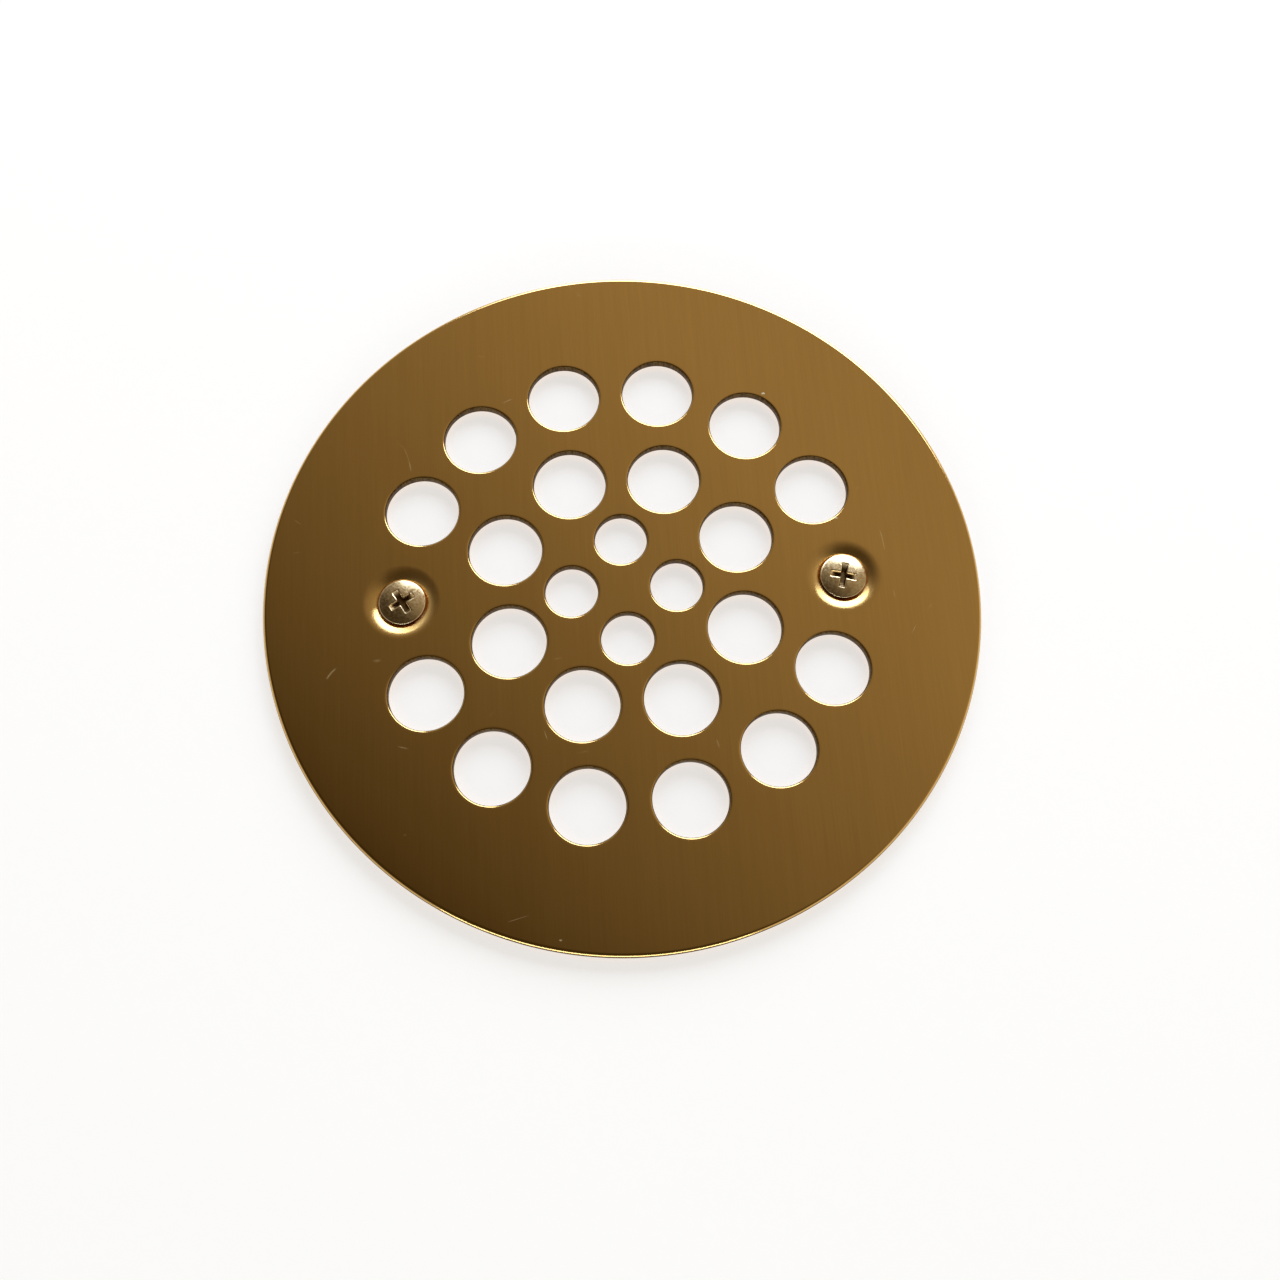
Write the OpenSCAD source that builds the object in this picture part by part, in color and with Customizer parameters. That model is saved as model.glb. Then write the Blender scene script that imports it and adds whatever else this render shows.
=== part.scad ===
// Round floor drain grate: a stamped brass disc with three circles of drain holes and two
// pressed dimples, held to a drain body by two countersunk screws.
// Millimetres, +Z up. The origin is the centre of the disc's flat underside, and the two
// screws lie on the X axis.

/* [Disc] */
// Outside diameter of the disc, 4-1/4 inch
plate_d = 107.95; // [104:0.05:115]
// Thickness of the sheet metal
sheet_t = 1.2; // [1:0.05:1.5]
// Radius of the disc's rolled-over top edge
rim_round = 0.55; // [0.2:0.05:0.8]

/* [Drain holes] */
// Diameter of the large drain holes, 7/16 inch
hole_d = 11.11; // [9:0.01:11.5]
// Diameter of the small holes round the centre, 5/16 inch
centre_hole_d = 7.94; // [6:0.01:8.5]
// Radius of the rolled-over top edge of every drain hole
hole_round = 0.32; // [0.1:0.02:0.5]
// Diameter of the outer circle, 2-5/8 inch, which the screws share with drain holes
outer_circle_d = 66.675; // [64:0.005:69]
// Diameter of the middle circle of drain holes, 1-1/2 inch
middle_circle_d = 38.1; // [37:0.1:39]
// Diameter of the inner circle of small holes, 5/8 inch
inner_circle_d = 15.875; // [15.5:0.005:17]
// Places on the outer circle, two of them taken by the screws
outer_places = 14; // [10:2:14]
// Drain holes on the middle circle
middle_holes = 8; // [6:1:8]
// Small holes on the inner circle
inner_holes = 4; // [3:1:4]

/* [Screw dimples] */
// Diameter of the clearance hole at the bottom of a dimple
dimple_hole_d = 5.9; // [5:0.1:6.2]
// Depth from the disc's top face to the upper edge of the clearance hole
dimple_depth = 1.05; // [0.8:0.05:1.2]
// Height of the clearance hole's wall
dimple_wall = 1.0; // [0.8:0.05:1.2]
// Slope of the dimple's side, in degrees from level
dimple_slope = 30; // [28:1:34]
// Radius of the lip where the top face turns down into the dimple
lip_round = 4; // [3:0.1:4.4]

/* [Screws] */
// Diameter of the screw head
head_d = 7; // [6.6:0.1:7.2]
// Included angle of the countersunk head
head_angle = 82; // [80:1:90]
// Height of the raised top of the head
crown_h = 0.45; // [0.3:0.05:0.6]
// Diameter of the thread's crests, a No. 6 screw
thread_d = 3.5; // [3.4:0.05:3.6]
// Distance between the thread's crests
thread_pitch = 1.06; // [0.9:0.01:1.1]
// Depth of the thread
thread_depth = 0.4; // [0.3:0.05:0.5]
// Length of the plain neck between the head and the thread
neck_len = 1.2; // [1:0.1:1.5]
// Turns of full thread
thread_turns = 4; // [3:1:6]
// Length of the tapered point
point_len = 1.3; // [1:0.1:2]
// Width of each arm of the cross recess in the head
recess_w = 0.9; // [0.7:0.05:1.1]
// Span of the cross recess across the head
recess_span = 3.9; // [3.4:0.1:4.4]
// Depth of the cross recess below the head's widest edge
recess_depth = 0.75; // [0.5:0.05:1]

/* [Hidden] */

brass = [0.62, 0.46, 0.2];
screw_gold = [0.72, 0.58, 0.34];
round_fn = 96;

// How far a cutter runs past the metal it cuts
over = 1;

// The dimple's top surface: an arc out of the top face, then a straight side to the hole
hole_r = dimple_hole_d / 2;
lip_run = lip_round * sin(dimple_slope);
lip_drop = lip_round * (1 - cos(dimple_slope));
side_run = (dimple_depth - lip_drop) / tan(dimple_slope);
dimple_r = hole_r + side_run + lip_run;
edge_z = sheet_t - dimple_depth;

// Its underside: the same bend seen from inside, cut off by a flat ring round the hole
heel_round = lip_round - sheet_t;
heel_r = dimple_r - heel_round * sin(dimple_slope);
heel_z = -heel_round * (1 - cos(dimple_slope));
foot_z = edge_z - dimple_wall;
foot_r = heel_r - (heel_z - foot_z) / tan(dimple_slope);

// The screws: the head's cone stands just clear of the clearance hole's upper edge
seat_gap = 0.06;
head_edge = 0.12;
head_r = head_d / 2;
thread_r = thread_d / 2;
neck_r = thread_r - 0.2;
root_r = thread_r - thread_depth;
crest_w = thread_pitch / 6;
root_w = thread_pitch / 6;
flank_w = (thread_pitch - crest_w - root_w) / 2;
tip_r = 0.75;
cone_h = (head_r - neck_r) / tan(head_angle / 2);
crown_r = (head_r * head_r + crown_h * crown_h) / (2 * crown_h);
head_z = edge_z + seat_gap + (head_r - hole_r) / tan(head_angle / 2) + head_edge;
thread_z = -head_edge - cone_h - neck_len;
end_z = thread_z - thread_turns * thread_pitch;

// Copies its children to some of the evenly spaced places on a circle
module on_circle(circle_d, places, start, taken = []) {
    for (place = [0 : places - 1])
        if (len(search(place, taken)) == 0)
            rotate(start + place * 360 / places)
                translate([circle_d / 2, 0])
                    children();
}

// The disc before piercing, its top edge rolled over
module blank() {
    rotate_extrude($fn = 2 * round_fn) {
        square([plate_d / 2 - rim_round, sheet_t]);
        square([plate_d / 2, sheet_t - rim_round]);
        translate([plate_d / 2 - rim_round, sheet_t - rim_round])
            circle(r = rim_round, $fn = round_fn);
    }
}

// What a drain hole takes away: a round bore that flares over its rolled top edge
module drain_hole(d) {
    rotate_extrude($fn = round_fn) {
        translate([0, -over])
            square([d / 2, sheet_t + 2 * over]);
        difference() {
            translate([0, sheet_t - hole_round])
                square([d / 2 + hole_round, hole_round + over]);
            translate([d / 2 + hole_round, sheet_t - hole_round])
                circle(r = hole_round, $fn = round_fn);
        }
    }
}

// The metal that a dimple pushes out below the disc
module dimple_boss() {
    rotate_extrude($fn = round_fn)
        difference() {
            polygon([
                [0, foot_z],
                [foot_r, foot_z],
                [heel_r, heel_z],
                [dimple_r, 0],
                [dimple_r, edge_z],
                [0, edge_z]
            ]);
            translate([dimple_r, -heel_round])
                circle(r = heel_round, $fn = round_fn);
        }
}

// What a dimple takes away above the metal, with the screw's clearance hole
module dimple_hollow() {
    rotate_extrude($fn = round_fn) {
        translate([0, foot_z - over])
            square([hole_r, sheet_t - foot_z + 2 * over]);
        difference() {
            polygon([
                [0, edge_z],
                [hole_r, edge_z],
                [dimple_r - lip_run, sheet_t - lip_drop],
                [dimple_r, sheet_t],
                [dimple_r, sheet_t + over],
                [0, sheet_t + over]
            ]);
            translate([dimple_r, sheet_t - lip_round])
                circle(r = lip_round, $fn = 2 * round_fn);
        }
    }
}

// One screw with its point down, its head's widest edge at z = 0
module screw() {
    difference() {
        rotate_extrude($fn = round_fn)
            screw_profile();
        for (turn = [0, 90])
            rotate(turn)
                translate([-recess_span / 2, -recess_w / 2, -recess_depth])
                    cube([recess_span, recess_w, recess_depth + crown_h + over]);
    }
}

// Half of the screw's section: raised top, countersunk head, neck, thread rings and point
module screw_profile() {
    intersection() {
        translate([0, crown_h - crown_r])
            circle(r = crown_r, $fn = 4 * round_fn);
        polygon(concat(
            [[0, crown_h], [head_r, crown_h], [head_r, -head_edge]],
            [[neck_r, -head_edge - cone_h], [neck_r, thread_z]],
            [for (turn = [0 : thread_turns - 1], p = thread_ring(thread_z - turn * thread_pitch)) p],
            [[root_r, end_z], [tip_r, end_z - point_len], [0, end_z - point_len]]
        ));
    }
}

// One ring of thread downwards from height z: out to the crest, along it and back to the root
function thread_ring(z) = [
    [root_r, z],
    [thread_r, z - flank_w],
    [thread_r, z - flank_w - crest_w],
    [root_r, z - 2 * flank_w - crest_w]
];

// The stamped disc with its drain holes and its two screw dimples
module grate_plate() {
    color(brass)
        difference() {
            union() {
                blank();
                on_circle(outer_circle_d, 2, 0)
                    dimple_boss();
            }
            on_circle(outer_circle_d, 2, 0)
                dimple_hollow();
            on_circle(outer_circle_d, outer_places, 0, [0, outer_places / 2])
                drain_hole(hole_d);
            on_circle(middle_circle_d, middle_holes, 180 / middle_holes)
                drain_hole(hole_d);
            on_circle(inner_circle_d, inner_holes, 0)
                drain_hole(centre_hole_d);
        }
}

module left_screw() {
    color(screw_gold)
        translate([-outer_circle_d / 2, 0, head_z])
            rotate(30)
                screw();
}

module right_screw() {
    color(screw_gold)
        translate([outer_circle_d / 2, 0, head_z])
            rotate(75)
                screw();
}

grate_plate();
left_screw();
right_screw();
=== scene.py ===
import math

import bpy
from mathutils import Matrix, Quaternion, Vector
from mathutils.geometry import delaunay_2d_cdt


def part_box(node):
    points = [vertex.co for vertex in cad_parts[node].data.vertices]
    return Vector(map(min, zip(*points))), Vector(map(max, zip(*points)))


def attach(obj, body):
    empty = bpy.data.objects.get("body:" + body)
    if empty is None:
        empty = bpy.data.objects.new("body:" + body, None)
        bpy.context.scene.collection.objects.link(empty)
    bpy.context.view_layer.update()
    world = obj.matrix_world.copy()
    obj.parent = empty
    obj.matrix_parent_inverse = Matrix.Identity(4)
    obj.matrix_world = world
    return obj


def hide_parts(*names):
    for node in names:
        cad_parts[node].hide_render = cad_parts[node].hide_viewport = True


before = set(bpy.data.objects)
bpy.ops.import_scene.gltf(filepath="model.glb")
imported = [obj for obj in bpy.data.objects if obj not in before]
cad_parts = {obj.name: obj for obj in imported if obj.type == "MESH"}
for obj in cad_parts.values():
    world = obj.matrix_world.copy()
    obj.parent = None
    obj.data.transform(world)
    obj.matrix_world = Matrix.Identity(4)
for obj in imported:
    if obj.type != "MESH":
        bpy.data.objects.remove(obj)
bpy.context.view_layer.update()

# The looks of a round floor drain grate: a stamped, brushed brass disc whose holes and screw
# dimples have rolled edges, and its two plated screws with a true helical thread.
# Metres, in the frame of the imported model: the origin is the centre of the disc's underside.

MM = 0.001

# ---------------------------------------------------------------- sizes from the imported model

PLATE_LOW, PLATE_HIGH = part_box("grate_plate")
PLATE_R = PLATE_HIGH.x
SHEET_T = PLATE_HIGH.z
FOOT_Z = PLATE_LOW.z

# ---------------------------------------------------------------- the disc's own dimensions

RIM_ROUND = 0.55 * MM
HOLE_ROUND = 0.32 * MM
HOLE_R = 11.11 / 2 * MM
CENTRE_HOLE_R = 7.94 / 2 * MM
OUTER_CIRCLE_R = 66.675 / 2 * MM
MIDDLE_CIRCLE_R = 38.1 / 2 * MM
INNER_CIRCLE_R = 15.875 / 2 * MM
OUTER_PLACES = 14
SCREW_PLACES = (0, 7)
MIDDLE_PLACES = 8
MIDDLE_START = math.radians(22.5)
INNER_PLACES = 4

DIMPLE_HOLE_R = 5.9 / 2 * MM
DIMPLE_DEPTH = 1.05 * MM
DIMPLE_SLOPE = math.radians(30)
LIP_ROUND = 4.0 * MM
EDGE_EASE = 0.1 * MM

# Heights of an extra ring in the upright walls, as parts of the sheet's thickness
HOLE_WALL_MID = 0.35
RIM_WALL_MID = 0.2

# How far inside the rim's rounding the flat part of the face ends
RIM_LEAD = 0.15 * MM

# Punching draws the metal down a little round each drain hole
DISH_DEPTH = 0.004 * MM
DISH_REACH = 0.9 * MM

# Rolling the rim draws the metal down a little towards it
RIM_FALL = 0.008 * MM
RIM_FALL_RUN = 4.5 * MM

# Pressing a dimple dulls the face round it
PRESSED_REACH = 0.9 * MM

# ---------------------------------------------------------------- the screws' own dimensions

HEAD_R = 3.5 * MM
HEAD_EDGE = 0.12 * MM
HEAD_HALF_ANGLE = math.radians(41)
CROWN_H = 0.45 * MM
THREAD_R = 1.75 * MM
THREAD_DEPTH = 0.4 * MM
THREAD_PITCH = 1.06 * MM
THREAD_TURNS = 4
NECK_R = 1.55 * MM
NECK_LEN = 1.2 * MM
POINT_LEN = 1.3 * MM
TIP_R = 0.75 * MM
RECESS_HALF_W = 0.45 * MM
RECESS_HALF_SPAN = 1.95 * MM
RECESS_DEPTH = 0.75 * MM
RECESS_EASE = 0.05 * MM
RECESS_FOOT_HALF_W = RECESS_HALF_W - 0.16 * MM
RECESS_FOOT_HALF_SPAN = 0.55 * RECESS_HALF_SPAN
RECESS_CLEAR = 0.12 * MM
RECESS_MARGIN = 0.01 * MM
BLUNT_H = 0.06 * MM
BLUNT_IN = 0.08 * MM
HEAD_RINGS = [r * MM for r in (0.95, 1.25, 1.55, 1.85, 2.15, 2.45, 2.75, 3.05, 3.25, 3.4)]

# ---------------------------------------------------------------- how finely curves are cut

RIM_COUNT = 288
HOLE_COUNT = 72
DIMPLE_COUNT = 96
SCREW_COUNT = 72
ROWS_PER_TURN = 22
ROLLED_STEPS = 8
# How many steps of each hole's rolled edge, from below, take the sheared finish with its painted shade
SHEARED_SHADE_STEPS = 5
RIM_STEPS = 10
RIM_ROLLED_STEPS = 6
HEEL_STEPS = 8
EASE_STEPS = 4
LIP_STEPS = 16
RING_GAPS = [0.25, 0.55, 0.95, 1.45, 2.1, 2.9]
RING_LEAST = 0.24 * MM
GRID_STEP = 1.3 * MM
GRID_CLEAR = 0.6 * GRID_STEP
GRID_LEAST = 0.75 * GRID_STEP
PLATE_CREASE = math.radians(32)
SCREW_CREASE = math.radians(50)

# The disc's two finishes, by their place in its list of materials. The sheared one is rough and also
# painted dark as shade on the hole walls and edges.
BRUSHED, SHEARED_WITH_SHADE = 0, 1


# ---------------------------------------------------------------- mesh building

class Shell:
    """The points and faces of one closed surface, gathered ring by ring."""

    def __init__(self):
        self.points = []
        self.faces = []
        self.slots = []

    def add(self, points):
        """Adds points and returns their numbers."""
        first = len(self.points)
        self.points.extend(points)
        return list(range(first, len(self.points)))

    def ring(self, centre, radius, z, count):
        """A level circle of points, anticlockwise seen from above."""
        turns = [math.tau * k / count for k in range(count)]
        return self.add([
            (centre[0] + radius * math.cos(t), centre[1] + radius * math.sin(t), z) for t in turns
        ])

    def band(self, first, second, slot=0):
        """A closed strip of four-sided faces between two rings."""
        count = len(first)
        for k in range(count):
            after = (k + 1) % count
            self.face((first[k], second[k], second[after], first[after]), slot)

    def fan(self, ring, tip, slot=0):
        """Closes a ring at one point. The ring runs anticlockwise seen from outside."""
        for k, corner in enumerate(ring):
            self.face((corner, ring[(k + 1) % len(ring)], tip), slot)

    def face(self, corners, slot=0):
        self.faces.append(corners)
        self.slots.append(slot)

    def lathe(self, centre, outline, count, slots):
        """Turns an outline of (radius, height) points round an upright axis. slots[k] is the
        finish of the strip after point k. Returns the first and the last ring."""
        rings = [self.ring(centre, radius, z, count) for radius, z in outline]
        for k in range(len(rings) - 1):
            self.band(rings[k], rings[k + 1], slots[k])
        return rings[0], rings[-1]

    def fill(self, outer, openings, loose, upwards, slot=0):
        """Fills the level area inside the outer ring and outside the openings' rings,
        passing through the loose points."""
        loops = [outer] + openings
        numbers = [i for loop in loops for i in loop] + loose
        flat = [Vector(self.points[i][:2]) / MM for i in numbers]
        edges = []
        for loop in loops:
            start = len(edges)
            edges += [(start + k, start + (k + 1) % len(loop)) for k in range(len(loop))]
        owner = [n for n, loop in enumerate(loops) for _ in loop] + [-1] * len(loose)
        _, _, triangles, sources, _, _ = delaunay_2d_cdt(flat, edges, [], 0, 1e-6)
        for triangle in triangles:
            inputs = [sources[i][0] for i in triangle]
            corners = [numbers[i] for i in inputs]
            owners = {owner[i] for i in inputs}
            if len(owners) == 1 and min(owners) >= 0:
                within = self.encloses(loops[min(owners)], corners)
                if within != (min(owners) == 0):
                    continue
            if not upwards:
                corners.reverse()
            self.face(tuple(corners), slot)

    def encloses(self, loop, corners):
        """Whether the middle of some corners lies inside a level loop."""
        x = sum(self.points[i][0] for i in corners) / len(corners)
        y = sum(self.points[i][1] for i in corners) / len(corners)
        crossings = 0
        for k, number in enumerate(loop):
            x1, y1, _ = self.points[number]
            x2, y2, _ = self.points[loop[(k + 1) % len(loop)]]
            if (y1 > y) != (y2 > y) and x < x1 + (y - y1) * (x2 - x1) / (y2 - y1):
                crossings += 1
        return crossings % 2 == 1

    def to_object(self, name, materials, sharp_angle):
        """Makes a smooth-shaded mesh object, with its creases where faces meet sharply."""
        mesh = bpy.data.meshes.new(name)
        mesh.from_pydata(self.points, [], self.faces)
        for material in materials:
            mesh.materials.append(material)
        mesh.polygons.foreach_set("material_index", self.slots)
        mesh.polygons.foreach_set("use_smooth", [True] * len(mesh.polygons))
        mesh.set_sharp_from_angle(angle=sharp_angle)
        mesh.validate()
        obj = bpy.data.objects.new(name, mesh)
        bpy.context.scene.collection.objects.link(obj)
        return obj


def arc(centre_r, centre_z, radius, start, end, steps):
    """Points (radius, height) along an arc, from one angle to another, in degrees."""
    angles = [math.radians(start + (end - start) * k / steps) for k in range(steps + 1)]
    return [(centre_r + radius * math.cos(t), centre_z + radius * math.sin(t)) for t in angles]


def smooth(t):
    """0 to 1 with level ends."""
    t = min(1.0, max(0.0, t))
    return t * t * (3 - 2 * t)


# ---------------------------------------------------------------- the disc

def on_circle(radius, places, start, taken=()):
    """Centres of the evenly spaced places on a circle that aren't taken."""
    turns = [start + math.tau * k / places for k in range(places) if k not in taken]
    return [(radius * math.cos(t), radius * math.sin(t)) for t in turns]


def drain_holes():
    """Every drain hole as (centre, radius)."""
    outer = on_circle(OUTER_CIRCLE_R, OUTER_PLACES, 0, taken=SCREW_PLACES)
    middle = on_circle(MIDDLE_CIRCLE_R, MIDDLE_PLACES, MIDDLE_START)
    inner = on_circle(INNER_CIRCLE_R, INNER_PLACES, 0)
    return [(c, HOLE_R) for c in outer + middle] + [(c, CENTRE_HOLE_R) for c in inner]


def rim_fall(radius):
    """How far the top face has fallen at a distance from the centre."""
    into = radius - (PLATE_R - RIM_ROUND - RIM_FALL_RUN)
    return RIM_FALL * (max(0.0, into) / RIM_FALL_RUN) ** 3


def dish(x, y, holes):
    """How far the top face is drawn down at a point, by the rim and the holes round it."""
    drop = rim_fall(math.hypot(x, y))
    for (cx, cy), radius in holes:
        away = math.hypot(x - cx, y - cy) - radius - HOLE_ROUND
        if away < 3 * DISH_REACH:
            drop += DISH_DEPTH * math.exp(-(max(0.0, away) / DISH_REACH) ** 2)
    return drop


def mark_pressed(mesh):
    """Stores at each point how strongly pressing a dimple has dulled it, from 0 to 1."""
    dimple_r = dimple_outline()[-1][0]
    values = []
    for vertex in mesh.vertices:
        x = abs(vertex.co.x) - OUTER_CIRCLE_R
        away = math.hypot(x, vertex.co.y) - dimple_r
        values.append(smooth(0.5 - away / (2 * PRESSED_REACH)))
    layer = mesh.attributes.new("pressed", "FLOAT", "POINT")
    layer.data.foreach_set("value", values)


def hole_outline(radius):
    """A drain hole's wall from the underside up, and its rolled edge out to the top face."""
    top = SHEET_T - DISH_DEPTH
    rolled = arc(radius + HOLE_ROUND, top - HOLE_ROUND, HOLE_ROUND, 180, 90, ROLLED_STEPS)
    return [(radius, 0.0), (radius, HOLE_WALL_MID * SHEET_T)] + rolled


def dimple_outline():
    """A dimple in one walk: down its underside from the disc, across the foot, up the
    screw's hole, and up its side and over its lip to the top face."""
    lip_run = LIP_ROUND * math.sin(DIMPLE_SLOPE)
    lip_drop = LIP_ROUND * (1 - math.cos(DIMPLE_SLOPE))
    side_run = (DIMPLE_DEPTH - lip_drop) / math.tan(DIMPLE_SLOPE)
    dimple_r = DIMPLE_HOLE_R + side_run + lip_run
    edge_z = SHEET_T - DIMPLE_DEPTH
    heel_round = LIP_ROUND - SHEET_T
    bend = math.degrees(DIMPLE_SLOPE)
    heel = arc(dimple_r, -heel_round, heel_round, 90, 90 + bend, HEEL_STEPS)
    foot_r = heel[-1][0] - (heel[-1][1] - FOOT_Z) / math.tan(DIMPLE_SLOPE)
    eased_r, eased_z = DIMPLE_HOLE_R + EDGE_EASE, edge_z - EDGE_EASE / 2
    eased = arc(eased_r, eased_z, EDGE_EASE, 180, 90 + bend, EASE_STEPS)
    lip = arc(dimple_r, SHEET_T - LIP_ROUND, LIP_ROUND, 90 + bend, 90, LIP_STEPS)
    return heel + [(foot_r, FOOT_Z), (DIMPLE_HOLE_R, FOOT_Z)] + eased + lip


def thinned(points, kept, least):
    """The points that stay at least some distance from each other and from those kept."""
    cells = {}

    def cell(p):
        return (int(p[0] // least), int(p[1] // least))

    def crowded(p):
        cx, cy = cell(p)
        near = [q for i in (-1, 0, 1) for j in (-1, 0, 1) for q in cells.get((cx + i, cy + j), ())]
        return any(math.dist(p, q) < least for q in near)

    for p in kept:
        cells.setdefault(cell(p), []).append(p)
    result = []
    for p in points:
        if not crowded(p):
            cells.setdefault(cell(p), []).append(p)
            result.append(p)
    return result


def face_points(openings, rim_r):
    """Points spread over the top face: rings round each opening, closer near its edge, and
    a triangular grid between them."""

    def room(p, skip=None):
        """Distance to the nearest edge, leaving out one opening."""
        gaps = [math.dist(p, c) - r for c, r in openings if (c, r) != skip]
        return min(gaps + [rim_r - math.hypot(*p)])

    rings = []
    for centre, radius in openings:
        for gap in RING_GAPS:
            reach = radius + gap * MM
            count = HOLE_COUNT if gap < 1 else HOLE_COUNT // 2
            for k in range(count):
                turn = math.tau * (k + 0.5) / count
                p = (centre[0] + reach * math.cos(turn), centre[1] + reach * math.sin(turn))
                if room(p, skip=(centre, radius)) > gap * MM:
                    rings.append(p)
    rings = thinned(rings, [], RING_LEAST)
    rows = int(rim_r / GRID_STEP * 1.2)
    grid = []
    for j in range(-rows, rows + 1):
        for i in range(-rows, rows + 1):
            p = (GRID_STEP * (i + 0.5 * (j % 2)), GRID_STEP * j * math.sqrt(0.75))
            if room(p) > GRID_CLEAR:
                grid.append(p)
    return rings + thinned(grid, rings, GRID_LEAST)


def make_plate(materials):
    """The whole disc as one closed surface. The hole walls with the lower part of their rolled edges,
    and the lower part of the rim's edge, have the sheared finish, painted dark as shade, and the rest
    the brushed one."""
    shell = Shell()
    holes = drain_holes()
    below, above, openings = [], [], []
    for centre, radius in holes:
        outline = hole_outline(radius)
        # The sheared finish, painted dark as shade, covers the wall and the lower part of the rolled
        # edge.
        slots = [SHEARED_WITH_SHADE] * (2 + SHEARED_SHADE_STEPS) + [BRUSHED] * ROLLED_STEPS
        low, high = shell.lathe(centre, outline, HOLE_COUNT, slots)
        below.append(low)
        above.append(high)
        openings.append((centre, radius + HOLE_ROUND))
    for centre in on_circle(OUTER_CIRCLE_R, 2, 0):
        outline = dimple_outline()
        low, high = shell.lathe(centre, outline, DIMPLE_COUNT, [BRUSHED] * len(outline))
        below.append(low)
        above.append(high)
        openings.append((centre, outline[-1][0]))
    inner_r = PLATE_R - RIM_ROUND - RIM_LEAD
    rim = [(inner_r, SHEET_T - rim_fall(inner_r))]
    round_z = SHEET_T - RIM_FALL - RIM_ROUND
    rim += arc(PLATE_R - RIM_ROUND, round_z, RIM_ROUND, 90, 0, RIM_STEPS)
    rim += [(PLATE_R, RIM_WALL_MID * SHEET_T), (PLATE_R, 0.0)]
    # The lower part of the rim's edge takes the sheared finish, painted dark as shade.
    rolled = 1 + RIM_ROLLED_STEPS
    slots = [BRUSHED] * rolled + [SHEARED_WITH_SHADE] * (len(rim) - rolled)
    top, bottom = shell.lathe((0, 0), rim, RIM_COUNT, slots)
    spread = face_points(openings, inner_r)
    loose = shell.add([(x, y, SHEET_T - dish(x, y, holes)) for x, y in spread])
    shell.fill(top, above, loose, upwards=True)
    shell.fill(bottom, below, [], upwards=False)
    plate = shell.to_object("brass_plate", materials, PLATE_CREASE)
    add_brush_map(plate.data)
    mark_pressed(plate.data)
    return plate


def add_brush_map(mesh):
    """A flat map over the face, whose first axis lies across the brush lines."""
    layer = mesh.uv_layers.new(name="brush")
    for loop in mesh.loops:
        x, y, _ = mesh.vertices[loop.vertex_index].co
        layer.data[loop.index].uv = (x / (2 * PLATE_R) + 0.5, y / (2 * PLATE_R) + 0.5)


# ---------------------------------------------------------------- the screws

def crown_z(radius):
    """Height of the head's raised top above its widest edge."""
    ball = (HEAD_R ** 2 + CROWN_H ** 2) / (2 * CROWN_H)
    return math.sqrt(ball ** 2 - radius ** 2) - (ball - CROWN_H)


def cross_outline(half_w, half_span, corner):
    """Points of a cross, anticlockwise from the end of its +X arm, with rounded arm ends."""
    end = [(half_span - corner + corner * math.cos(t), half_w - corner + corner * math.sin(t))
           for t in (math.radians(15 + 15 * k) for k in range(6))]
    steps = [k / 6 for k in range(1, 7)]
    side = [(half_span - corner + (half_w - half_span + corner) * t, half_w) for t in steps]
    half_arm = end + side
    arm = half_arm[:-1] + [(half_w, half_w)]
    arm += [(y, x) for x, y in reversed(half_arm[:-1])]
    points = []
    for k in range(4):
        turn = k * math.pi / 2
        cos, sin = math.cos(turn), math.sin(turn)
        points += [(x * cos - y * sin, x * sin + y * cos) for x, y in arm]
    return points


def thread_radius(turn, z, start_z, end_z):
    """Radius of the threaded shank: a right-handed helix that fades in below the neck and
    out along the point."""
    root = THREAD_R - THREAD_DEPTH
    if z < end_z:
        root += (TIP_R - root) * (end_z - z) / POINT_LEN
    phase = (z / THREAD_PITCH - turn / math.tau) % 1.0
    from_crest = abs(phase - 0.5) * 2
    ridge = smooth((0.72 - from_crest) / 0.5)
    fade_in = smooth((start_z - z) / (0.8 * THREAD_PITCH))
    fade_out = smooth((z - end_z + 0.75 * POINT_LEN) / (0.75 * POINT_LEN))
    return root + THREAD_DEPTH * ridge * fade_in * fade_out


def make_screw(name, node, material, turned):
    """One screw, standing where the CAD screw stands, its cross recess turned by an angle."""
    low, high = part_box(node)
    centre = ((low.x + high.x) / 2, (low.y + high.y) / 2)
    cone_h = (HEAD_R - NECK_R) / math.tan(HEAD_HALF_ANGLE)
    thread_len = THREAD_TURNS * THREAD_PITCH
    edge_z = low.z + POINT_LEN + thread_len + NECK_LEN + cone_h + HEAD_EDGE
    neck_z = edge_z - HEAD_EDGE - cone_h
    shell = Shell()
    face = add_head_face(shell, centre, edge_z, turned)
    outline = [
        (HEAD_R - 0.04 * MM, edge_z - 0.005 * MM),
        (HEAD_R, edge_z - 0.05 * MM),
        (HEAD_R, edge_z - HEAD_EDGE),
        (HEAD_R - 0.03 * MM, edge_z - HEAD_EDGE - 0.05 * MM),
        (NECK_R + 0.12 * MM, neck_z + 0.14 * MM),
        (NECK_R + 0.02 * MM, neck_z - 0.02 * MM),
        (NECK_R, neck_z - 0.15 * MM),
        (NECK_R, neck_z - NECK_LEN + 0.25 * MM),
    ]
    first, last = shell.lathe(centre, outline, SCREW_COUNT, [0] * len(outline))
    shell.band(face, first)
    add_shank(shell, centre, neck_z - NECK_LEN, low.z, last)
    screw = shell.to_object(name, [material], SCREW_CREASE)
    mark_recess(screw.data, edge_z)
    return screw


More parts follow.
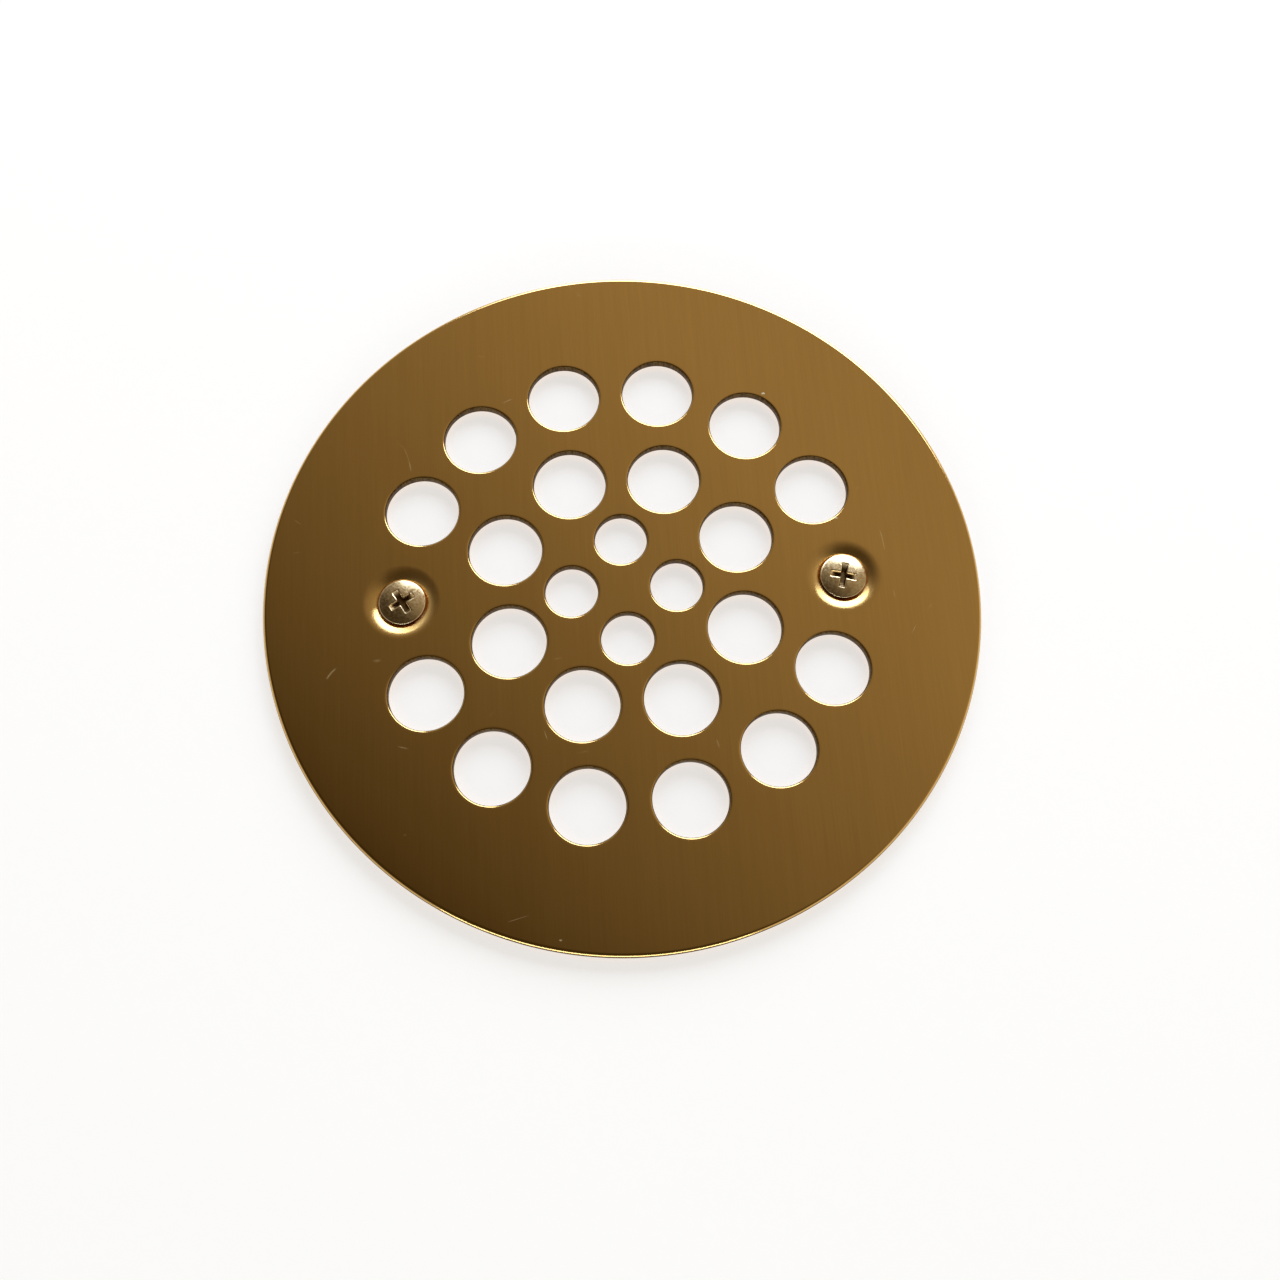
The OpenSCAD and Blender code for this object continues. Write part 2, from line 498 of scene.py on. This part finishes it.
def add_head_face(shell, centre, edge_z, turned):
    """The head's raised top with its cross recess. Returns its outer ring."""

    def place(points, height):
        """Adds points of the head, turned, each at the height that its radius gives."""
        cos, sin = math.cos(turned), math.sin(turned)
        return shell.add([
            (centre[0] + x * cos - y * sin, centre[1] + x * sin + y * cos,
             edge_z + height(math.hypot(x, y)))
            for x, y in points
        ])

    edge = cross_outline(RECESS_HALF_W + RECESS_EASE, RECESS_HALF_SPAN + RECESS_EASE, 0.22 * MM)
    wall = cross_outline(RECESS_HALF_W, RECESS_HALF_SPAN, 0.2 * MM)
    foot = cross_outline(RECESS_FOOT_HALF_W, RECESS_FOOT_HALF_SPAN, 0.12 * MM)
    lip = place(edge, crown_z)
    eased = place(wall, lambda r: crown_z(r) - RECESS_EASE)
    floor = place(foot, lambda r: -RECESS_DEPTH)
    shell.band(floor, eased)
    shell.band(eased, lip)
    shell.fill(floor, [], [], upwards=True)
    turns = [math.tau * k / SCREW_COUNT for k in range(SCREW_COUNT)]
    rings = []
    for radius in HEAD_RINGS:
        rings.append([(radius * math.cos(t), radius * math.sin(t)) for t in turns])
    outer = place(rings[-1], crown_z)
    between = [p for ring in rings[:-1] for p in ring if clear_of_cross(p)]
    shell.fill(outer, [lip], place(between, crown_z), upwards=True)
    return outer


def clear_of_cross(point):
    """Whether a point of the head's top stands off from the cross recess."""
    along, across = max(map(abs, point)), min(map(abs, point))
    return across > RECESS_HALF_W + RECESS_CLEAR or along > RECESS_HALF_SPAN + RECESS_CLEAR


def add_shank(shell, centre, start_z, tip_z, last):
    """The threaded shank and its point, down from the ring at the end of the neck."""
    turns = [math.tau * k / SCREW_COUNT for k in range(SCREW_COUNT)]
    end_z = tip_z + POINT_LEN
    blunt_z = tip_z + BLUNT_H
    rows = math.ceil((start_z - tip_z) / THREAD_PITCH * ROWS_PER_TURN)
    for k in range(rows):
        z = start_z + (blunt_z - start_z) * k / (rows - 1)
        radii = [thread_radius(t, z, start_z, end_z) for t in turns]
        ring = shell.add([
            (centre[0] + r * math.cos(t), centre[1] + r * math.sin(t), z)
            for r, t in zip(radii, turns)
        ])
        shell.band(last, ring)
        last = ring
    blunt = shell.ring(centre, TIP_R - BLUNT_IN, tip_z, SCREW_COUNT)
    shell.band(last, blunt)
    tip = shell.add([(*centre, tip_z)])[0]
    shell.fan(blunt[::-1], tip)


def mark_recess(mesh, edge_z):
    """Stores at each point of the recess how far down it lies, from 0 to 1. The screw's material paints
    shade into the recess by it.
    """
    depths = []
    for vertex in mesh.vertices:
        radius = math.hypot(vertex.co.x - math.copysign(OUTER_CIRCLE_R, vertex.co.x), vertex.co.y)
        inside = radius < RECESS_HALF_SPAN + RECESS_MARGIN
        below = edge_z + crown_z(radius) - vertex.co.z if inside else 0.0
        deep = min(1.0, below / RECESS_DEPTH)
        in_recess = vertex.co.z > edge_z - RECESS_DEPTH - RECESS_MARGIN
        depths.append(deep if in_recess else 0.0)
    layer = mesh.attributes.new("recess", "FLOAT", "POINT")
    layer.data.foreach_set("value", depths)


# ---------------------------------------------------------------- materials

class Nodes:
    """A short way to build a node tree."""

    def __init__(self, tree):
        self.tree = tree
        tree.nodes.clear()

    def make(self, kind, inputs=None, **settings):
        """Adds a node. An input is a plain value or another node's output."""
        node = self.tree.nodes.new(kind)
        for key, value in settings.items():
            setattr(node, key, value)
        for key, value in (inputs or {}).items():
            if isinstance(value, bpy.types.NodeSocket):
                self.tree.links.new(value, node.inputs[key])
            else:
                node.inputs[key].default_value = value
        return node

    def math(self, operation, first, second):
        """Works out one value from two."""
        node = self.make("ShaderNodeMath", {0: first, 1: second}, operation=operation)
        return node.outputs[0]

    def between(self, value, low, high, to_low=0.0, to_high=1.0, kind="SMOOTHSTEP"):
        """Maps a value from one range to another, clamped."""
        node = self.make(
            "ShaderNodeMapRange",
            {"Value": value, "From Min": low, "From Max": high, "To Min": to_low, "To Max": to_high},
            interpolation_type=kind,
        )
        return node.outputs["Result"]

    def mix(self, factor, first, second):
        """Mixes two colours. Inputs 0, 6 and 7 are the factor and the two colours."""
        node = self.make("ShaderNodeMix", data_type="RGBA")
        for key, value in ((0, factor), (6, first), (7, second)):
            if isinstance(value, bpy.types.NodeSocket):
                self.tree.links.new(value, node.inputs[key])
            elif key == 0:
                node.inputs[key].default_value = value
            else:
                node.inputs[key].default_value = (*value, 1.0)
        return node.outputs[2]

    def stretched(self, scale):
        """The object's own coordinates, scaled by an amount along each axis."""
        place = self.make("ShaderNodeTexCoord").outputs["Object"]
        return self.make("ShaderNodeMapping", {"Vector": place, "Scale": scale}).outputs["Vector"]

    def noise(self, scale, detail=2.0, roughness=0.5):
        """Noise whose features are 1/scale long along each axis."""
        node = self.make(
            "ShaderNodeTexNoise",
            {"Vector": self.stretched(scale), "Scale": 1.0, "Detail": detail, "Roughness": roughness},
        )
        return node.outputs[0]


def new_material(name):
    """An empty node material and its node tree."""
    material = bpy.data.materials.new(name)
    material.use_nodes = True
    return material, Nodes(material.node_tree)


BRASS_DARK = (0.75, 0.465, 0.155)
BRASS_PALE = (0.83, 0.520, 0.175)
BRASS_SMUDGE = (0.66, 0.37, 0.10)
BRASS_MARK = (0.78, 0.70, 0.50)
BRASS_ROUGHNESS = (0.043, 0.055)
SMUDGE_STRENGTH = 0.12
SMUDGE_ROUGHNESS = 0.01
PRESSED_ROUGHNESS = 0.16
MARK_ROUGHNESS = 0.5
STREAK_HEIGHT = 1.5e-6
WAVE_HEIGHT = 2e-6


def brushed_brass():
    """Lacquered brass, brushed along Y, with fine streaks, smudges, dust and scratches."""
    material, n = new_material("brushed_brass")
    fine = n.noise((5200, 90, 1), 3.0)
    broad = n.noise((900, 14, 1), 2.0)
    cloud = n.noise((38, 30, 1), 3.0, 0.6)
    streak = n.math("ADD", n.math("MULTIPLY", fine, 0.6), n.math("MULTIPLY", broad, 0.4))
    tone = n.between(streak, 0.3, 0.7, kind="LINEAR")
    colour = n.mix(tone, BRASS_DARK, BRASS_PALE)
    patch = n.between(cloud, 0.3, 0.7)
    colour = n.mix(n.math("MULTIPLY", patch, SMUDGE_STRENGTH), colour, BRASS_SMUDGE)
    rough = n.between(streak, 0.3, 0.7, *BRASS_ROUGHNESS, kind="LINEAR")
    rough = n.math("ADD", rough, n.math("MULTIPLY", patch, SMUDGE_ROUGHNESS))
    streaks = n.make("ShaderNodeBump", {
        "Height": streak,
        "Strength": 1.0,
        "Distance": STREAK_HEIGHT,
    })
    waves = n.make("ShaderNodeBump", {
        "Height": n.noise((160, 130, 1), 1.0),
        "Strength": 1.0,
        "Distance": WAVE_HEIGHT,
        "Normal": streaks.outputs["Normal"],
    })
    pressed = n.make("ShaderNodeAttribute", attribute_name="pressed").outputs["Fac"]
    rough = n.math("ADD", rough, n.math("MULTIPLY", pressed, PRESSED_ROUGHNESS))
    marks = n.math("MAXIMUM", specks(n), scratches(n))
    colour = n.mix(marks, colour, BRASS_MARK)
    rough = n.math("MAXIMUM", rough, n.math("MULTIPLY", marks, MARK_ROUGHNESS))
    tangent = n.make("ShaderNodeTangent", direction_type="UV_MAP", uv_map="brush").outputs[0]
    shader = n.make("ShaderNodeBsdfPrincipled", {
        "Base Color": colour,
        "Metallic": n.math("SUBTRACT", 1.0, marks),
        "Roughness": rough,
        "Anisotropic": 1.0,
        "Tangent": tangent,
        "Normal": waves.outputs["Normal"],
    })
    n.make("ShaderNodeOutputMaterial", {"Surface": shader.outputs[0]})
    return material


def specks(n):
    """A mask of sparse dust grains and nicks, longer across the brush lines than along them."""
    grains = n.make(
        "ShaderNodeTexVoronoi",
        {"Vector": n.stretched((330, 560, 1)), "Scale": 1.0, "Randomness": 1.0},
    )
    near = n.between(grains.outputs["Distance"], 0.05, 0.13, 1.0, 0.0)
    chance = n.make("ShaderNodeSeparateColor", {"Color": grains.outputs["Color"]}).outputs[0]
    rare = n.math("GREATER_THAN", chance, 0.975)
    return n.math("MULTIPLY", n.math("MULTIPLY", near, rare), 0.8)


def scratches(n):
    """A mask of a few hairline scratches: the edges of large warped cells, shown in patches."""
    warp = n.make("ShaderNodeTexNoise", {"Vector": n.stretched((30, 30, 1)), "Scale": 1.0})
    place = n.make(
        "ShaderNodeVectorMath",
        {0: n.stretched((55, 75, 1)), 1: warp.outputs["Color"]},
        operation="ADD",
    ).outputs[0]
    cells = n.make(
        "ShaderNodeTexVoronoi",
        {"Vector": place, "Scale": 1.0},
        feature="DISTANCE_TO_EDGE",
    )
    line = n.between(cells.outputs["Distance"], 0.0, 0.006, 1.0, 0.0)
    patch = n.between(n.noise((260, 260, 1), 1.0), 0.64, 0.76)
    return n.math("MULTIPLY", n.math("MULTIPLY", line, patch), 0.3)


# Painted shade: the sheared finish's colours, far darker than brass.
SHEARED_SHADE_DARK = (0.045, 0.022, 0.007)
SHEARED_SHADE_PALE = (0.15, 0.085, 0.028)


def sheared_brass_with_shade():
    """The punched walls of the drain holes, the lower part of their rolled edges and the lower part of
    the rim's edge: rough, with upright tear marks, and painted far darker than brass as shade."""
    material, n = new_material("sheared_brass_with_shade")
    tear = n.noise((4200, 4200, 240), 3.0)
    colour = n.mix(n.between(tear, 0.35, 0.65), SHEARED_SHADE_DARK, SHEARED_SHADE_PALE)
    rough = n.between(tear, 0.3, 0.7, 0.38, 0.6)
    bump = n.make("ShaderNodeBump", {"Height": tear, "Strength": 0.6, "Distance": 2e-5})
    shader = n.make("ShaderNodeBsdfPrincipled", {
        "Base Color": colour,
        "Metallic": 1.0,
        "Roughness": rough,
        "Normal": bump.outputs["Normal"],
    })
    n.make("ShaderNodeOutputMaterial", {"Surface": shader.outputs[0]})
    return material


PLATING_DARK = (0.74, 0.53, 0.27)
PLATING_PALE = (0.86, 0.66, 0.37)
PLATING_WORN = (0.60, 0.40, 0.19)
# Painted shade: the colour the recess takes at its bottom.
RECESS_PAINTED_SHADE = (0.20, 0.115, 0.045)
RECESS_ROUGHNESS = 0.3


def plated_screw():
    """Bright plating over cut steel: paler than the disc, a little uneven, with a dull recess that is
    painted darker with depth as shade."""
    material, n = new_material("plated_screw")
    grain = n.noise((2600, 2600, 2600), 3.0, 0.55)
    cloud = n.noise((500, 500, 500), 2.0)
    colour = n.mix(n.between(grain, 0.3, 0.7), PLATING_DARK, PLATING_PALE)
    colour = n.mix(n.between(cloud, 0.55, 0.8), colour, PLATING_WORN)
    # Painted shade: the recess is coloured darker the deeper it lies, and also made rougher.
    depth = n.make("ShaderNodeAttribute", attribute_name="recess").outputs["Fac"]
    down = n.between(depth, 0.05, 0.75)
    colour = n.mix(down, colour, RECESS_PAINTED_SHADE)
    rough = n.between(grain, 0.3, 0.7, 0.17, 0.27)
    rough = n.math("ADD", rough, n.math("MULTIPLY", down, RECESS_ROUGHNESS))
    bump = n.make("ShaderNodeBump", {"Height": grain, "Strength": 0.4, "Distance": 4e-6})
    shader = n.make("ShaderNodeBsdfPrincipled", {
        "Base Color": colour,
        "Metallic": 1.0,
        "Roughness": rough,
        "Normal": bump.outputs["Normal"],
    })
    n.make("ShaderNodeOutputMaterial", {"Surface": shader.outputs[0]})
    return material


PAPER_DARK = (0.49, 0.44, 0.37)
PAPER_PALE = (0.52, 0.47, 0.40)
PAPER_GLOW = 0.64


def floor_paper():
    """Plain studio paper. It glows a little, so that it comes out nearly white."""
    material, n = new_material("floor_paper")
    grain = n.noise((900, 900, 900), 2.0)
    colour = n.mix(grain, PAPER_DARK, PAPER_PALE)
    shader = n.make("ShaderNodeBsdfPrincipled", {
        "Base Color": colour,
        "Roughness": 0.9,
        "Specular IOR Level": 0.0,
        "Emission Color": (1.0, 1.0, 1.0, 1.0),
        "Emission Strength": PAPER_GLOW,
    })
    n.make("ShaderNodeOutputMaterial", {"Surface": shader.outputs[0]})
    return material


# ---------------------------------------------------------------- stage, light and camera

FLOOR_HALF = 3.0


def make_floor():
    """A plain floor, level with the feet of the dimples."""
    mesh = bpy.data.meshes.new("floor")
    corners = [(x * FLOOR_HALF, y * FLOOR_HALF, FOOT_Z) for x, y in ((-1, -1), (1, -1), (1, 1), (-1, 1))]
    mesh.from_pydata(corners, [], [(0, 1, 2, 3)])
    mesh.materials.append(floor_paper())
    floor = bpy.data.objects.new("floor", mesh)
    bpy.context.scene.collection.objects.link(floor)


# The ceiling is graded once, from dim at the near left to pale at the far right. A grade is
# given by the direction's X + Y for the ceiling, its X for the walls, and its height for
# where the walls end.
CEILING_DIM = (0.05, 0.035, 0.015)
CEILING_PALE = (0.35, 0.29, 0.20)
CEILING_GRADE = (-0.1, 0.6)
WALL_LEFT = (0.54, 0.54, 0.545)
WALL_RIGHT = (0.72, 0.69, 0.64)
WALL_GRADE = (-0.3, 0.9)
WALL_TOP = (0.42, 0.72)


def make_world():
    """A plain studio: pale walls that shade off into a dimmer ceiling."""
    world = bpy.data.worlds.new("studio")
    world.use_nodes = True
    bpy.context.scene.world = world
    n = Nodes(world.node_tree)
    direction = n.make("ShaderNodeTexCoord").outputs["Generated"]
    axes = n.make("ShaderNodeSeparateXYZ", {0: direction}).outputs
    across = n.math("ADD", axes[0], axes[1])
    ceiling = n.mix(n.between(across, *CEILING_GRADE, kind="LINEAR"), CEILING_DIM, CEILING_PALE)
    walls = n.mix(n.between(axes[0], *WALL_GRADE), WALL_LEFT, WALL_RIGHT)
    sky = n.mix(n.between(axes[2], *WALL_TOP), walls, ceiling)
    background = n.make("ShaderNodeBackground", {"Color": sky, "Strength": 1.0})
    n.make("ShaderNodeOutputWorld", {"Surface": background.outputs[0]})


# Watts for each square metre of a softbox, at brightness 1
WATTS_PER_AREA = 4


def softbox(name, azimuth, elevation, distance, width, height, brightness, colour):
    """A rectangular light that faces the disc. Azimuth 0 is towards +Y and 90 towards +X."""
    turn, rise = math.radians(azimuth), math.radians(elevation)
    away = Vector((
        math.sin(turn) * math.cos(rise),
        math.cos(turn) * math.cos(rise),
        math.sin(rise),
    ))
    light = bpy.data.lights.new(name, "AREA")
    light.shape = "RECTANGLE"
    light.size = width
    light.size_y = height
    light.energy = brightness * width * height * WATTS_PER_AREA
    light.color = colour
    obj = bpy.data.objects.new(name, light)
    obj.location = away * distance
    obj.rotation_euler = away.to_track_quat("Z", "Y").to_euler()
    obj.visible_camera = False
    bpy.context.scene.collection.objects.link(obj)


def make_lights():
    """A large softbox behind the disc and a thin strip in front of it."""
    softbox(
        "window", azimuth=18, elevation=28, distance=0.9,
        width=0.80, height=0.68, brightness=4.2, colour=(0.80, 0.98, 1.30),
    )
    softbox(
        "front_strip", azimuth=189, elevation=11, distance=0.9,
        width=1.1, height=0.10, brightness=7.5, colour=(0.80, 1.0, 1.15),
    )


# The photo's viewing angle, in degrees
CAMERA_AZIMUTH = -7.72
CAMERA_ELEVATION = 72.29
CAMERA_ROLL = 3.86
CAMERA_DISTANCE = 184.1 * MM
CAMERA_AIM = (1.79 * MM, -8.30 * MM, SHEET_T)
CAMERA_LENS = 34.85


def make_camera():
    """Looks down on the disc from a little in front of it and to its left."""
    azimuth, elevation = math.radians(CAMERA_AZIMUTH), math.radians(CAMERA_ELEVATION)
    roll = math.radians(CAMERA_ROLL)
    back = Vector((
        math.sin(azimuth) * math.cos(elevation),
        -math.cos(azimuth) * math.cos(elevation),
        math.sin(elevation),
    ))
    data = bpy.data.cameras.new("camera")
    data.sensor_width = 36.0
    data.lens = CAMERA_LENS
    data.clip_start = 0.01
    data.clip_end = 20.0
    camera = bpy.data.objects.new("camera", data)
    camera.location = Vector(CAMERA_AIM) + back * CAMERA_DISTANCE
    camera.rotation_mode = "QUATERNION"
    upright = (-back).to_track_quat("-Z", "Y")
    camera.rotation_quaternion = upright @ Quaternion((0, 0, 1), roll)
    bpy.context.scene.collection.objects.link(camera)
    bpy.context.scene.camera = camera


# ---------------------------------------------------------------- the scene

make_camera()
make_floor()
make_world()
make_lights()
bpy.context.scene.view_settings.view_transform = "Standard"

plate = make_plate([brushed_brass(), sheared_brass_with_shade()])
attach(plate, "grate")
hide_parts("grate_plate")

screw_metal = plated_screw()
for side_name, turned in (("left", 30), ("right", 75)):
    node = side_name + "_screw"
    screw = make_screw("threaded_" + node, node, screw_metal, math.radians(turned))
    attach(screw, node)
    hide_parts(node)
